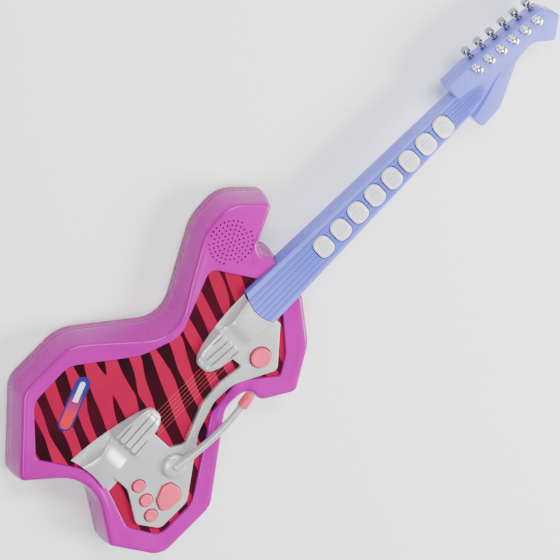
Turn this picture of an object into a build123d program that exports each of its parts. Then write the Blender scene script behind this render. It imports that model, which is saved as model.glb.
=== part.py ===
from build123d import *
import os
from math import cos, hypot, radians, sin, tan

# Toy electric guitar, lying on its back.
# Origin: on the flat back, under the neck's centre line. +Y runs towards the headstock,
# +Z out of the face with the buttons, +X towards the whammy bar. All sizes are millimetres.

# ---- driving dimensions -------------------------------------------------------------
SEAM_Z = 12.0            # height where the two body halves meet
BODY_TOP = 42.0          # highest level of the body's rim
DRAFT = 8.0              # lean of the front half's flanks, degrees
BEVEL = 1.4              # bevel round the rim's outer edge
WALL = 2.6               # wall of the body halves
FLOOR = 2.4              # thickness of the back
RECESS_Z = 35.0          # floor of the recess that holds the panel
CEILING_Z = 32.6         # underside of that floor
RIM_CEILING_Z = 39.4     # underside of the rim
PANEL_TOP = 36.5
PLATE_TOP = 40.3         # top of the silver arm and control plate
LOBE_TOP = 41.2
HUMP_TOP = 47.0
NECK_BOTTOM = 22.0
NECK_SEAM = 33.0
NECK_TOP = 46.0
HEAD_TOP = 45.0
NECK_WALL = 2.2
NECK_ROOF_Z = 43.6       # underside of the neck's front wall
NUT_Y = 382.0            # where neck meets headstock
HEEL_Y = 120.5           # where the neck ends at its corners
HEEL_BULGE = 6.0         # how far the neck's end bows towards the body
NUT_HALF = 12.6          # neck's half width at the nut
NECK_FLARE = 0.0323      # growth of that half width per millimetre towards the body
GAP = 0.4                # clearance round inserts

FRET_COUNT = 8
FRET_FIRST_Y = 356.5
FRET_PITCH = 22.2
FRET_HALF_X = 11.3
FRET_HALF_Y = 9.1
FRET_TOP = 48.0
FRET_CLEAR = 0.5         # gap round each button's cap
NECK_BOARD_Z = 27.0
BOARD_T = 1.6
BOARD_Z = 24.0           # underside of the boards in the body

ROUND_AT = (37.6, 87.4)
ROUND_R = 10.2
SMALL_AT = [(42.8, -76.8), (59.0, -81.9), (74.0, -89.2)]
SMALL_R = 6.5
PAD_AT = (72.5, -63.0)
PAD_SHAPE = [(-12.4, 1.0, 5.0), (-6.0, -13.0, 7.0), (5.2, -17.5, 4.5), (10.6, -10.5, 6.0), (11.6, 5.0, 5.0),
             (2.0, 11.0, 7.0), (-9.4, 9.2, 5.0)]
PIVOT = (54.3, -40.5)
PIVOT_R = 4.0
PIVOT_PLAY = 0.05
BOSS_R = 12.0
BAR_ROUTE = [(56.5, -20, 46.6), (57.0, 8, 50), (54.8, 30, 52.5), (52.5, 45.5, 53)]
BAR_D = 7.2
TIP_R = 5.4
TIP_LENGTH = 15.0

SPEAKER_AT = (-68.0, 143.5)
SPEAKER_R = 19.5
GRILLE_RINGS = 5
GRILLE_PITCH = 4.2       # gap between the rings of holes
GRILLE_HOLE_R = 0.9
CLAMP_CLEAR = 3.4        # least gap from a grille hole to a clamp screw's centre

TUNER_COUNT = 6
TUNER_FIRST_Y = 420.0
TUNER_PITCH = 14.1
TUNER_Z = 33.0
POST_IN = 4.6            # post centre inside the headstock's edge
POST_DOWN = 4.6          # post centre below its tuner's shaft
POST_R = 4.2
POST_TOP = 53.6
SHAFT_R = 1.5
SHAFT_PLAY = 0.05

CELL_R = 7.2
CELL_LENGTH = 50.0
BAY_LOW = (-88.0, -97.0)
BAY_HIGH = (-40.0, -33.0)
DOOR_SCREW = (BAY_LOW[0] + 24, BAY_HIGH[1] - 4)
BAY_ROOF_Z = 19.0

# Outlines: corner x, corner y, radius of the corner. Body, recess, headstock, silver parts.
BODY_OUTLINE = [
    (27, 158, 9), (-24, 165, 9), (-40.5, 157, 8), (-64.5, 202, 8), (-101, 169, 34),
    (-97.5, 132, 40), (-48, 50, 30), (-114, -24, 40), (-113.5, -88, 22), (-47.5, -153.5, 9),
    (4, -103, 40), (67, -141, 9), (118, -113, 24), (118, -44, 26), (54, 33, 18),
    (56, 54, 7), (74, 56, 12), (96, 88, 11), (67, 131, 40),
]
RECESS_OUTLINE = [
    (19, 134, 2), (-18, 139, 2), (-63, 113, 8), (-35, 50, 25), (-50, 12, 50),
    (-95, -40, 22), (-93.5, -86, 18), (-51, -123, 5), (5, -92, 30), (66, -113, 9),
    (97.5, -98, 15), (97.5, -55, 20), (44, 18, 14), (40, 58, 8), (68, 88, 4), (56, 106, 25),
]
HEAD_OUTLINE = [
    (-26, 384, 4), (-25.5, 408, 20), (-15, 497, 5), (3, 506, 5),
    (19, 487, 3), (4, 470, 14), (5.5, 448, 14), (28, 408, 14), (30, NUT_Y, 5),
]
UPPER_HUMP = [(-19.5, 127, 2), (-19.5, 76, 30), (-10, 49, 12), (2.5, 38, 8), (15, 49, 12), (24, 76, 30),
              (24, 127, 2)]
LOWER_HUMP = [(2.5, -11, 8), (-8.5, -25, 12), (-18, -52, 20), (-24, -106, 2), (31, -106, 2),
              (24, -52, 20), (13.5, -25, 12)]
LOBE = [(18, 121, 1), (18, 68, 1), (42, 67, 6), (60, 88, 7), (48, 104, 14), (27, 122, 3)]
PLATE = [(8, -33, 2), (44, -26, 8), (54, -18, 2), (62, -20, 3), (79, -38, 14), (91, -56, 12),
         (91.5, -93, 8), (71, -104, 9), (40, -89, 20), (18, -88, 2)]
ARM_ROUTE = [(41, 76), (33, 52), (32.5, 26), (41, 4), (53, -22)]
ARM_WIDTH = 9.5
TAIL_ARC_Y = -170.0      # centre of the arc that ends the lower hump
TAIL_ARC_R = 72.0


# ---- helpers ------------------------------------------------------------------------
def closed(corners):
    """Face with straight sides and round corners."""
    points = [(x, y) for x, y, r in corners]
    radii = [r for x, y, r in corners]
    return make_face(FilletPolyline(*points, radius=radii, close=True))


def prism(face, low, high, taper=0):
    """Face carried from one height to another."""
    return extrude(Pos(0, 0, low) * face, amount=high - low, taper=taper)


def block(low, high):
    """Box from its lowest and highest corners."""
    size = [h - l for l, h in zip(low, high)]
    centre = [(l + h) / 2 for l, h in zip(low, high)]
    return Pos(*centre) * Box(*size)


def rod(at, radius, low, high):
    """Upright cylinder."""
    return Pos(at[0], at[1], (low + high) / 2) * Cylinder(radius, high - low)


def cross_rod(start_x, end_x, y, z, radius):
    """Cylinder along X."""
    return Pos((start_x + end_x) / 2, y, z) * Rot(0, 90, 0) * Cylinder(radius, end_x - start_x)


def soften_top(solid, radius):
    """Round every edge of the highest face."""
    return fillet(solid.faces().sort_by(Axis.Z)[-1].edges(), radius)


def screws(places, head_r, head_t, shank_r, low, length):
    """Screws pointing up, with the head at the bottom."""
    group = []
    for at in places:
        screw = rod(at, head_r, low, low + head_t)
        screw += rod(at, shank_r, low + head_t, low + length)
        slot = block((at[0] - head_r, at[1] - 0.4, low - 1), (at[0] + head_r, at[1] + 0.4, low + 0.7))
        group.append(screw - slot)
    return group


def lead(points, diameter):
    """Wire along a route of straight runs joined by arcs as large as the runs allow."""
    radii = []
    for before, here, after in zip(points, points[1:], points[2:]):
        run_in = Vector(*here) - Vector(*before)
        run_out = Vector(*after) - Vector(*here)
        turn = radians(run_in.get_angle(run_out))
        radii.append(0.45 * min(run_in.length, run_out.length) / tan(turn / 2))
    print("wire radii", [round(r, 1) for r in radii])
    path = FilletPolyline(*points, radius=radii)
    section = Plane(origin=path @ 0, z_dir=path % 0) * Circle(diameter / 2)
    return sweep(section, path=path)


def save(name, shape):
    """Write one sub-part; a list becomes a group of separate solids."""
    if isinstance(shape, list):
        shape = Compound(children=shape)
    export_step(shape, f"parts/{name}.step")


def neck_half(y):
    """Half width of the neck at a place along it."""
    return NUT_HALF + (NUT_Y - y) * NECK_FLARE


def neck_face(top_y):
    """Neck outline from its bowed heel to a place along it."""
    heel = neck_half(HEEL_Y)
    tip = neck_half(top_y)
    end = ThreePointArc((-heel, HEEL_Y), (0, HEEL_Y - HEEL_BULGE), (heel, HEEL_Y))
    sides = Polyline((heel, HEEL_Y), (tip, top_y), (-tip, top_y), (-heel, HEEL_Y))
    return make_face(Curve() + [end, sides])


# ---- shared places ------------------------------------------------------------------
SHELL_SCREWS = [
    (-67, 182), (-83, 117), (-43, 58), (-100, -30), (-99, -84), (-50, -137), (4, -99),
    (66, -126), (105, -98), (104, -42), (47, 42), (80, 86), (38, 135),
]
HEEL_SCREWS = [(-12, 152), (12, 148), (-12, 128), (12, 128)]
HEAD_SCREWS = [(-17, 395), (20, 397), (2, 490), (0, 176), (0, 375.5)]
LEAD_HOLE = (5.2, 141.5)
BOARD_POSTS = [(37, -96), (87, -95), (87, -53), (37, -54), (27, 77), (49, 98)]
CLAMP_ANGLES = [-40, 90, 217]
CLAMP_R = 21.8
CLAMP_SCREWS = [(SPEAKER_AT[0] + CLAMP_R * cos(radians(a)), SPEAKER_AT[1] + CLAMP_R * sin(radians(a)))
                for a in CLAMP_ANGLES]
FRET_YS = [FRET_FIRST_Y - FRET_PITCH * i for i in range(FRET_COUNT)]
TUNER_YS = [TUNER_FIRST_Y + TUNER_PITCH * i for i in range(TUNER_COUNT)]


def post_at(y):
    """Place of the string post beside a tuner."""
    return (head_edge(y) + POST_IN, y - POST_DOWN)


def head_edge(y):
    """X of the headstock's bass edge beside the tuners."""
    return -25.5 + (y - 408) * 10.5 / 89


body = closed(BODY_OUTLINE)
recess = closed(RECESS_OUTLINE)
head = closed(HEAD_OUTLINE)
neck_pocket = offset(neck_face(NUT_Y - 150), GAP)
pad = closed(PAD_SHAPE)
lower_hump = closed(LOWER_HUMP) - Pos(0, TAIL_ARC_Y) * Circle(TAIL_ARC_R)


# ---- body halves --------------------------------------------------------------------
def make_back_shell():
    shell = prism(body, 0, SEAM_Z)
    shell = fillet(shell.faces().sort_by(Axis.Z)[0].edges(), 2.0)
    shell -= prism(offset(body, -WALL), FLOOR, SEAM_Z + 1)
    for at in SHELL_SCREWS + HEEL_SCREWS:
        shell += rod(at, 3.8, FLOOR - 0.5, SEAM_Z)
    for at in HEEL_SCREWS:
        shell += rod(at, 3.8, SEAM_Z - 1, 19.2)
    bay_low = (BAY_LOW[0] - 2, BAY_LOW[1] - 2, 0)
    bay_high = (BAY_HIGH[0] + 2, BAY_HIGH[1] + 2, BAY_ROOF_Z + 1.6)
    shell += block(bay_low, bay_high)
    shell -= block((*BAY_LOW, -1), (*BAY_HIGH, BAY_ROOF_Z))
    shell += rod(DOOR_SCREW, 3.5, FLOOR, BAY_ROOF_Z)
    shell -= rod(DOOR_SCREW, 1.2, FLOOR - 1, 12)
    shell -= block((0, -75, -1), (20, -65, 1.2))
    shell -= block((5, -72, 0), (15, -68, 3))
    for at in SHELL_SCREWS + HEEL_SCREWS:
        shell -= rod(at, 3.0, -1, 3.0)
        shell -= rod(at, 1.5, 2, 20)
    return shell


def make_front_shell():
    outer = prism(body, SEAM_Z, BODY_TOP - BEVEL, DRAFT)
    lean = (BODY_TOP - BEVEL - SEAM_Z) * tan(radians(DRAFT))
    outer += prism(offset(body, -lean), BODY_TOP - BEVEL, BODY_TOP, 45)
    shell = outer - prism(offset(body, -WALL), SEAM_Z, CEILING_Z, DRAFT)
    rim = offset(body, -WALL - 4.0) - offset(recess, 2.4)
    shell -= prism(rim, CEILING_Z - 0.1, RIM_CEILING_Z)
    for at in SHELL_SCREWS:
        shell += rod(at, 3.8, SEAM_Z, RIM_CEILING_Z + 0.5)
    for at in BOARD_POSTS:
        shell += rod(at, 3.0, BOARD_Z + BOARD_T, CEILING_Z + 0.5)
    for at in CLAMP_SCREWS:
        shell += rod(at, 2.6, 36.0, RIM_CEILING_Z + 0.5)
    shell += outer & prism(offset(neck_pocket, 2.4), 19.2, BODY_TOP)
    shell -= prism(neck_pocket, NECK_BOTTOM - 0.3, BODY_TOP + 1)
    shell -= prism(recess, RECESS_Z, BODY_TOP + 1)
    shell -= prism(offset(lower_hump, GAP), PANEL_TOP - 0.2, BODY_TOP + 1)
    for at in HEEL_SCREWS:
        shell -= rod(at, 1.8, 18, 23)
    shell -= rod(LEAD_HOLE, 6.0, 18, 23)
    for at in SHELL_SCREWS:
        shell -= rod(at, 1.2, SEAM_Z - 1, 24)
    for at in BOARD_POSTS:
        shell -= rod(at, 0.9, BOARD_Z, 31)
    for at in CLAMP_SCREWS:
        shell -= rod(at, 0.9, 35, 39.2)
    for at, radius in button_holes():
        shell -= rod(at, radius - 2.0, CEILING_Z - 1, RECESS_Z + 1)
    shell -= rod(PIVOT, 7.3, CEILING_Z - 1, RECESS_Z + 1)
    holes = [Pos(*SPEAKER_AT) * Circle(GRILLE_HOLE_R)]
    for ring in range(1, GRILLE_RINGS + 1):
        spots = PolarLocations(GRILLE_PITCH * ring, 6 * ring)
        centres = [(SPEAKER_AT[0] + spot.position.X, SPEAKER_AT[1] + spot.position.Y) for spot in spots]
        holes += [Pos(*at) * Circle(GRILLE_HOLE_R) for at in centres if clear_of_clamp(at)]
    shell -= prism(Sketch() + holes, RIM_CEILING_Z - 1, BODY_TOP + 1)
    return shell


def clear_of_clamp(at):
    """True where a grille hole misses the speaker's clamp screws."""
    return all(hypot(at[0] - spot[0], at[1] - spot[1]) > CLAMP_CLEAR for spot in CLAMP_SCREWS)


def button_holes():
    """Centre and radius of each round stem hole below the pink buttons."""
    places = [(ROUND_AT, 8.0)]
    places += [(at, 5.5) for at in SMALL_AT]
    places.append((PAD_AT, 8.0))
    return places


def make_panel():
    panel = prism(offset(recess, -GAP), RECESS_Z, PANEL_TOP)
    panel -= prism(offset(neck_pocket, 0.1), RECESS_Z - 1, PANEL_TOP + 1)
    panel -= rod(ROUND_AT, ROUND_R + 0.8, RECESS_Z - 1, PANEL_TOP + 1)
    for at in SMALL_AT:
        panel -= rod(at, SMALL_R + 0.8, RECESS_Z - 1, PANEL_TOP + 1)
    panel -= prism(Pos(*PAD_AT) * offset(pad, 0.8), RECESS_Z - 1, PANEL_TOP + 1)
    panel -= rod(PIVOT, 7.3, RECESS_Z - 1, PANEL_TOP + 1)
    return panel


def make_bezel():
    arm_line = FilletPolyline(*ARM_ROUTE, radius=[60, 30, 60])
    arm_face = offset(arm_line, ARM_WIDTH / 2, side=Side.BOTH)
    arm = prism(make_face(arm_face.edges()), PANEL_TOP, PLATE_TOP)
    plate = soften_top(prism(closed(PLATE), PANEL_TOP, PLATE_TOP), 1.0)
    lobe = soften_top(prism(closed(LOBE), PANEL_TOP, LOBE_TOP), 1.2)
    upper = soften_top(prism(closed(UPPER_HUMP), PANEL_TOP, HUMP_TOP, 6), 2.0)
    lower = soften_top(prism(closed(LOWER_HUMP), PANEL_TOP, HUMP_TOP, 6), 2.0)
    lower -= rod((0, TAIL_ARC_Y), TAIL_ARC_R, PANEL_TOP - 1, HUMP_TOP + 1)
    bezel = plate + arm + lobe + upper + lower
    bezel -= prism(offset(neck_pocket, 0.3), PANEL_TOP - 1, HUMP_TOP + 1)
    for low, high in [((-10, 60), (15, 104)), ((-10, -88), (15, -36))]:
        bezel -= block((*low, PANEL_TOP - 1), (*high, HUMP_TOP - 2.4))
    bezel += rod(PIVOT, 7.0, 30.0, PLATE_TOP)
    bezel -= rod(PIVOT, PIVOT_R + PIVOT_PLAY, 29, PLATE_TOP + 1)
    bezel -= rod(ROUND_AT, ROUND_R + 0.5, PANEL_TOP - 1, LOBE_TOP + 1)
    for at in SMALL_AT:
        bezel -= rod(at, SMALL_R + 0.5, PANEL_TOP - 1, PLATE_TOP + 1)
    bezel -= prism(Pos(*PAD_AT) * offset(pad, 0.5), PANEL_TOP - 1, PLATE_TOP + 1)
    return bezel


# ---- neck and headstock -------------------------------------------------------------
def make_neck_back():
    neck = prism(neck_face(NUT_Y + 4), NECK_BOTTOM, NECK_SEAM)
    long_edges = neck.faces().sort_by(Axis.Z)[0].edges().filter_by(lambda e: e.length > 100)
    neck = fillet(long_edges, 5.0)
    shell = neck + fillet(prism(head, NECK_BOTTOM + 0.5, NECK_SEAM).faces().sort_by(Axis.Z)[0].edges(), 0.8)
    inside = prism(offset(neck_face(NUT_Y - 6), -5.0), NECK_BOTTOM + NECK_WALL, NECK_BOTTOM + 5)
    inside += prism(offset(neck_face(NUT_Y - 4), -NECK_WALL), NECK_BOTTOM + 5, NECK_SEAM + 1)
    shell -= inside
    shell -= prism(offset(head, -2.4), NECK_BOTTOM + 3, NECK_SEAM + 1) - block((-40, 370, 0), (40, 388, 60))
    for i in range(FRET_COUNT + 1):
        y = FRET_FIRST_Y + FRET_PITCH * (0.5 - i)
        reach = neck_half(y) - 1.5
        shell += block((-reach, y - 0.8, NECK_BOTTOM + 3), (reach, y + 0.8, NECK_BOARD_Z))
    for at in HEEL_SCREWS + HEAD_SCREWS:
        shell += rod(at, 3.4, NECK_BOTTOM + 1.5, NECK_SEAM)
    for at in HEEL_SCREWS:
        shell -= rod(at, 1.2, NECK_BOTTOM - 1, NECK_SEAM + 1)
    for at in HEAD_SCREWS:
        shell -= rod(at, 2.6, NECK_BOTTOM - 1, NECK_BOTTOM + 2.6)
        shell -= rod(at, 1.2, NECK_BOTTOM - 1, NECK_SEAM + 1)
    shell -= rod(LEAD_HOLE, 6.0, NECK_BOTTOM - 1, NECK_BOTTOM + 4)
    return drill_tuners(shell)


def make_neck_front():
    shell = prism(neck_face(NUT_Y + 1), NECK_SEAM, NECK_TOP)
    sides = shell.faces().sort_by(Axis.Z)[-1].edges().filter_by(lambda e: e.length > 100)
    shell = fillet(sides, 2.0)
    shell += soften_top(prism(head, NECK_SEAM, HEAD_TOP), 1.0)
    shell -= prism(offset(neck_face(NUT_Y - 4), -NECK_WALL), NECK_SEAM - 1, NECK_ROOF_Z)
    shell -= prism(offset(head, -2.4), NECK_SEAM - 1, HEAD_TOP - 2.4) - block((-40, 370, 0), (40, 388, 60))
    for at in HEAD_SCREWS:
        shell += rod(at, 3.0, NECK_SEAM, NECK_ROOF_Z + 0.2)
    for at in HEAD_SCREWS + HEEL_SCREWS:
        shell -= rod(at, 1.2, NECK_SEAM - 1, 41)
    reach_x = FRET_HALF_X + FRET_CLEAR
    reach_y = FRET_HALF_Y + FRET_CLEAR
    for y in FRET_YS:
        shell -= block((-reach_x, y - reach_y, 36), (reach_x, y + reach_y, NECK_TOP + 1))
    for y in TUNER_YS:
        shell -= rod(post_at(y), 2.0, NECK_ROOF_Z - 3, HEAD_TOP + 1)
    return drill_tuners(shell)


def drill_tuners(shell):
    for y in TUNER_YS:
        shell -= cross_rod(head_edge(y) - 2, head_edge(y) + 4, y, TUNER_Z, 2.6)
    return shell


def make_fret_button(y):
    cap = block((-FRET_HALF_X, y - FRET_HALF_Y, 40), (FRET_HALF_X, y + FRET_HALF_Y, FRET_TOP))
    cap = fillet(cap.edges().filter_by(Axis.Y).group_by(Axis.Z)[-1], 3.5)
    cap = fillet(cap.edges().group_by(Axis.Z)[-1], 1.2)
    inner_x = FRET_HALF_X - 1.8
    inner_y = FRET_HALF_Y - 1.6
    cap -= block((-inner_x, y - inner_y, 39), (inner_x, y + inner_y, 44.5))
    cap += block((-5, y - FRET_HALF_Y - 1.2, 41.6), (5, y - FRET_HALF_Y + 1, 43.2))
    cap += block((-5, y + FRET_HALF_Y - 1, 41.6), (5, y + FRET_HALF_Y + 1.2, 43.2))
    return cap + rod((0, y), 2.6, 34.2, 45)


def make_tuner_peg(y):
    edge = head_edge(y)
    knob_x = edge - 9.5
    knob = Pos(knob_x, y, TUNER_Z) * Rot(0, 90, 0) * extrude(Ellipse(4.6, 4.2), 3.2, both=True)
    knob = fillet(knob.edges(), 1.4)
    knob -= block((knob_x - 3.5, y - 0.6, TUNER_Z + 3.4), (knob_x + 0.5, y + 0.6, TUNER_Z + 6))
    shaft = cross_rod(knob_x, edge + 7, y, TUNER_Z, SHAFT_R)
    stop = cross_rod(edge + 4.6, edge + 6, y, TUNER_Z, 2.4)
    return knob + shaft + stop


def make_tuner_bushing(y):
    edge = head_edge(y)
    bushing = cross_rod(edge - 3.2, edge - 1.2, y, TUNER_Z, 3.4)
    bushing += cross_rod(edge - 1.6, edge + 4, y, TUNER_Z, 2.5)
    return bushing - cross_rod(edge - 5, edge + 5, y, TUNER_Z, SHAFT_R + SHAFT_PLAY)


def make_tuner_post(y):
    at = post_at(y)
    post = rod(at, 3.4, HEAD_TOP, POST_TOP - 2) + rod(at, 4.5, HEAD_TOP, HEAD_TOP + 1.6)
    post += soften_top(rod(at, POST_R, POST_TOP - 4.6, POST_TOP), 1.6)
    return post - rod(at, 1.1, POST_TOP - 1, POST_TOP + 1) + rod(at, 2.0, HEAD_TOP - 4, HEAD_TOP)


# ---- controls on the body -----------------------------------------------------------
def make_push_button(at, radius, top):
    cap = soften_top(rod(at, radius, 36.9, top), 1.6)
    return cap + rod(at, 2.5, 31.8, 37)


def make_pad_button():
    cap = soften_top(prism(Pos(*PAD_AT) * pad, 36.9, 43.6), 1.6)
    return cap + rod(PAD_AT, 2.5, 31.8, 37)


def make_whammy_arm():
    boss = soften_top(rod(PIVOT, BOSS_R, PLATE_TOP + 0.3, 46.4), 3.0)
    bar = lead([(*PIVOT, 44.6)] + BAR_ROUTE, BAR_D)
    arm = boss + bar + rod(PIVOT, PIVOT_R, 22.0, PLATE_TOP + 1)
    return arm - rod(PIVOT, 1.5, 21, 34)


def make_whammy_tip():
    start = Vector(BAR_ROUTE[-1])
    axis = (start - Vector(BAR_ROUTE[-2])).normalized()
    tip = Plane(origin=start, z_dir=axis) * Pos(0, 0, TIP_LENGTH / 2) * Cylinder(TIP_R, TIP_LENGTH)
    return fillet(tip.edges().filter_by(GeomType.CIRCLE), 2.6)


# ---- sound, power and electronics ---------------------------------------------------
def make_speaker():
    x, y = SPEAKER_AT
    at = Pos(x, y, 0)
    frame = rod(SPEAKER_AT, SPEAKER_R - 0.5, 36.0, 38.6) - rod(SPEAKER_AT, 17.4, 35, 39)
    frame += Pos(x, y, 31.5) * (Cone(10.5, 18.0, 9) - Cone(9.3, 16.8, 9.1))
    cone = Pos(x, y, 33.5) * (Cone(5.0, 16.6, 7) - Pos(0, 0, 0.8) * Cone(4.4, 16.2, 7))
    cone += at * Pos(0, 0, 30.2) * Cylinder(4.6, 1.6)
    magnet = rod(SPEAKER_AT, 12.0, 20.0, 27.0)
    clamp = rod(SPEAKER_AT, SPEAKER_R + 0.6, 33.6, 36.0)
    for spot in CLAMP_SCREWS:
        clamp += rod(spot, 2.7, 33.6, 36.0)
    clamp -= rod(SPEAKER_AT, 18.3, 33, 37)
    for spot in CLAMP_SCREWS:
        clamp -= rod(spot, 1.0, 33, 37)
    return frame, cone, magnet, clamp


def make_domes(low_corner, high_corner, places, low, radius, top):
    """Rubber mat with one raised dome under each button."""
    mat = block((*low_corner, low), (*high_corner, low + 1.0))
    for at in places:
        mat += Pos(at[0], at[1], (low + 1 + top) / 2) * Cone(radius, radius * 0.6, top - low - 1)
    return mat


def make_boards():
    main = block((31, -101, BOARD_Z), (93, -49.5, BOARD_Z + BOARD_T))
    main += block((60, -94, BOARD_Z - 3), (72, -82, BOARD_Z))
    small = block((23, 73, BOARD_Z), (53, 102, BOARD_Z + BOARD_T))
    for at in BOARD_POSTS:
        main -= rod(at, 1.0, BOARD_Z - 1, BOARD_Z + 3)
        small -= rod(at, 1.0, BOARD_Z - 1, BOARD_Z + 3)
    last_y = FRET_YS[-1] - 12
    neck = block((-9, last_y, NECK_BOARD_Z), (9, FRET_FIRST_Y + 12, NECK_BOARD_Z + BOARD_T))
    return main, small, neck


def make_membranes():
    top = BOARD_Z + BOARD_T
    control = make_domes((40, -98), (84, -57), SMALL_AT + [PAD_AT], top, 5.0, 30.0)
    for at in BOARD_POSTS:
        control -= rod(at, 3.4, top - 1, top + 3)
    lone = make_domes((31, 81), (45, 94), [ROUND_AT], top, 5.0, 30.0)
    low = NECK_BOARD_Z + BOARD_T
    spots = [(0, y) for y in FRET_YS]
    neck = make_domes((-8, FRET_YS[-1] - 10), (8, FRET_FIRST_Y + 10), spots, low, 5.0, 32.0)
    return control, lone, neck


def make_batteries():
    cells = []
    for i in range(3):
        x = BAY_LOW[0] + 8.5 + 15.4 * i
        cell = Pos(x, -69.5, 10.2) * Rot(90, 0, 0) * Cylinder(CELL_R, CELL_LENGTH - 1.5)
        way = 1 if i % 2 else -1
        cell += Pos(x, -69.5 + way * (CELL_LENGTH - 0.7) / 2, 10.2) * Rot(90, 0, 0) * Cylinder(2.7, 0.8)
        cells.append(cell)
    return cells


def make_contacts():
    low = block((BAY_LOW[0] + 1, BAY_LOW[1] + 0.2, 5), (BAY_HIGH[0] - 1, BAY_LOW[1] + 0.7, 16))
    high = block((BAY_LOW[0] + 1, BAY_LOW[1] + 53.3, 5), (BAY_HIGH[0] - 1, BAY_LOW[1] + 53.8, 16))
    return [low, high]


def make_door():
    door = block((BAY_LOW[0] + GAP, BAY_LOW[1] + GAP, 0), (BAY_HIGH[0] - GAP, BAY_HIGH[1] - GAP, 2.2))
    door = fillet(door.edges().filter_by(Axis.Z), 2.0)
    for i in range(4):
        grip_y = BAY_LOW[1] + 5 + 3 * i
        door -= block((BAY_LOW[0] + 15, grip_y, -1), (BAY_HIGH[0] - 15, grip_y + 1.4, 0.6))
    return door - rod(DOOR_SCREW, 2.6, -1, 1.2) - rod(DOOR_SCREW, 1.3, -1, 3)


def make_whammy_spring():
    coil = Pos(PIVOT[0], PIVOT[1], 23.6) * Helix(1.5, 4.5, 5.6)
    section = Plane(origin=coil @ 0, z_dir=coil % 0) * Circle(0.55)
    return sweep(section, path=coil, is_frenet=True)


# ---- write every sub-part -----------------------------------------------------------
save("back_shell", make_back_shell())
save("front_shell", make_front_shell())
save("decor_panel", make_panel())
save("silver_bezel", make_bezel())
save("neck_back", make_neck_back())
save("neck_front", make_neck_front())
for number, y in enumerate(FRET_YS, 1):
    save(f"fret_button_{number}", make_fret_button(y))
for number, y in enumerate(TUNER_YS, 1):
    save(f"tuner_peg_{number}", make_tuner_peg(y))
save("tuner_bushings", [make_tuner_bushing(y) for y in TUNER_YS])
save("tuner_posts", [make_tuner_post(y) for y in TUNER_YS])
save("round_button", make_push_button(ROUND_AT, ROUND_R, 44.4))
for number, at in enumerate(SMALL_AT, 1):
    save(f"small_button_{number}", make_push_button(at, SMALL_R, 43.2))
save("pad_button", make_pad_button())
save("whammy_arm", make_whammy_arm())
save("whammy_tip", make_whammy_tip())
save("whammy_washer", rod(PIVOT, 6.4, 21.2, 22.0) - rod(PIVOT, 1.5, 20, 23))
save("whammy_screw", screws([PIVOT], 3.6, 2.4, 1.5, 18.8, 14))
save("whammy_spring", make_whammy_spring())
SPEAKER_PARTS = ["speaker_frame", "speaker_cone", "speaker_magnet", "speaker_clamp"]
for name, piece in zip(SPEAKER_PARTS, make_speaker()):
    save(name, piece)
for name, piece in zip(["main_board", "button_board", "neck_board"], make_boards()):
    save(name, piece)
for name, piece in zip(["control_membrane", "round_membrane", "neck_membrane"], make_membranes()):
    save(name, piece)
save("batteries", make_batteries())
save("battery_contacts", make_contacts())
save("battery_door", make_door())
save("battery_door_screw", screws([DOOR_SCREW], 2.4, 0.9, 1.2, 0.3, 10))
knob = block((5.4, -71.8, 0.3), (9.4, -68.2, 4.2))
save("power_knob", knob + block((4, -73, 2.6), (11, -67, 4.2)))
save("power_switch", block((1, -76, 4.6), (19, -64, 10)))
save("shell_screws", screws(SHELL_SCREWS, 2.8, 1.8, 1.2, 1.2, 20))
save("heel_screws", screws(HEEL_SCREWS, 2.8, 1.8, 1.2, 1.2, 30))
save("head_screws", screws(HEAD_SCREWS, 2.4, 1.6, 1.2, 23.0, 16))
save("board_screws", screws(BOARD_POSTS, 2.0, 1.2, 0.9, BOARD_Z - 1.2, 8)
     + screws(CLAMP_SCREWS, 2.0, 1.2, 0.9, 32.4, 6.2))
save("speaker_leads", lead([(-54, 133, 24), (-50, 112, 18), (-30, 70, 15), (-10, 10, 15), (22, -40, 18),
                            (34, -58, 22.8)], 2.0))
save("battery_leads", lead([(-37.6, -60, 10), (-25, -55, 11), (-2, -62, 15), (18, -74, 18),
                            (38, -78, 22.9)], 2.0))
save("neck_lead", lead([(5.2, 188.6, 28.2), (5.2, 165, 28.2), (5.2, 148, 27), (5.2, 137, 17),
                        (6, 124, 14.5), (10, 90, 14), (14, 50, 14), (24, -10, 16), (36, -44, 19),
                        (42, -58, 22.7)], 2.4))
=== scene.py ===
from math import atan2, cos, exp, hypot, pi, radians, sin, sqrt, tan

import bmesh
import bpy
from mathutils import Matrix, Vector


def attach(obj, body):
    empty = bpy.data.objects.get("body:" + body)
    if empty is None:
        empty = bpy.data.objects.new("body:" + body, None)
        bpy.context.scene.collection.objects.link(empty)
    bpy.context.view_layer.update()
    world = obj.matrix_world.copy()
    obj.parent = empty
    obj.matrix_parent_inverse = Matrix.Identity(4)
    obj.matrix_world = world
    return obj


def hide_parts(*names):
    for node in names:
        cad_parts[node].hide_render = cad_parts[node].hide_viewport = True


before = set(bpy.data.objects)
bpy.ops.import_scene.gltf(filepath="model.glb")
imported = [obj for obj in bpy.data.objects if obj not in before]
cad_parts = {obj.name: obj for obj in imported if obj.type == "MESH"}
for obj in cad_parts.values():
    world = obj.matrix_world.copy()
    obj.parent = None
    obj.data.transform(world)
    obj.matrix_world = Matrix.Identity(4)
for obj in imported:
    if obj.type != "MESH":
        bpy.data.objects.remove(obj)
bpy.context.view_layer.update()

MM = 0.001
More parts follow.
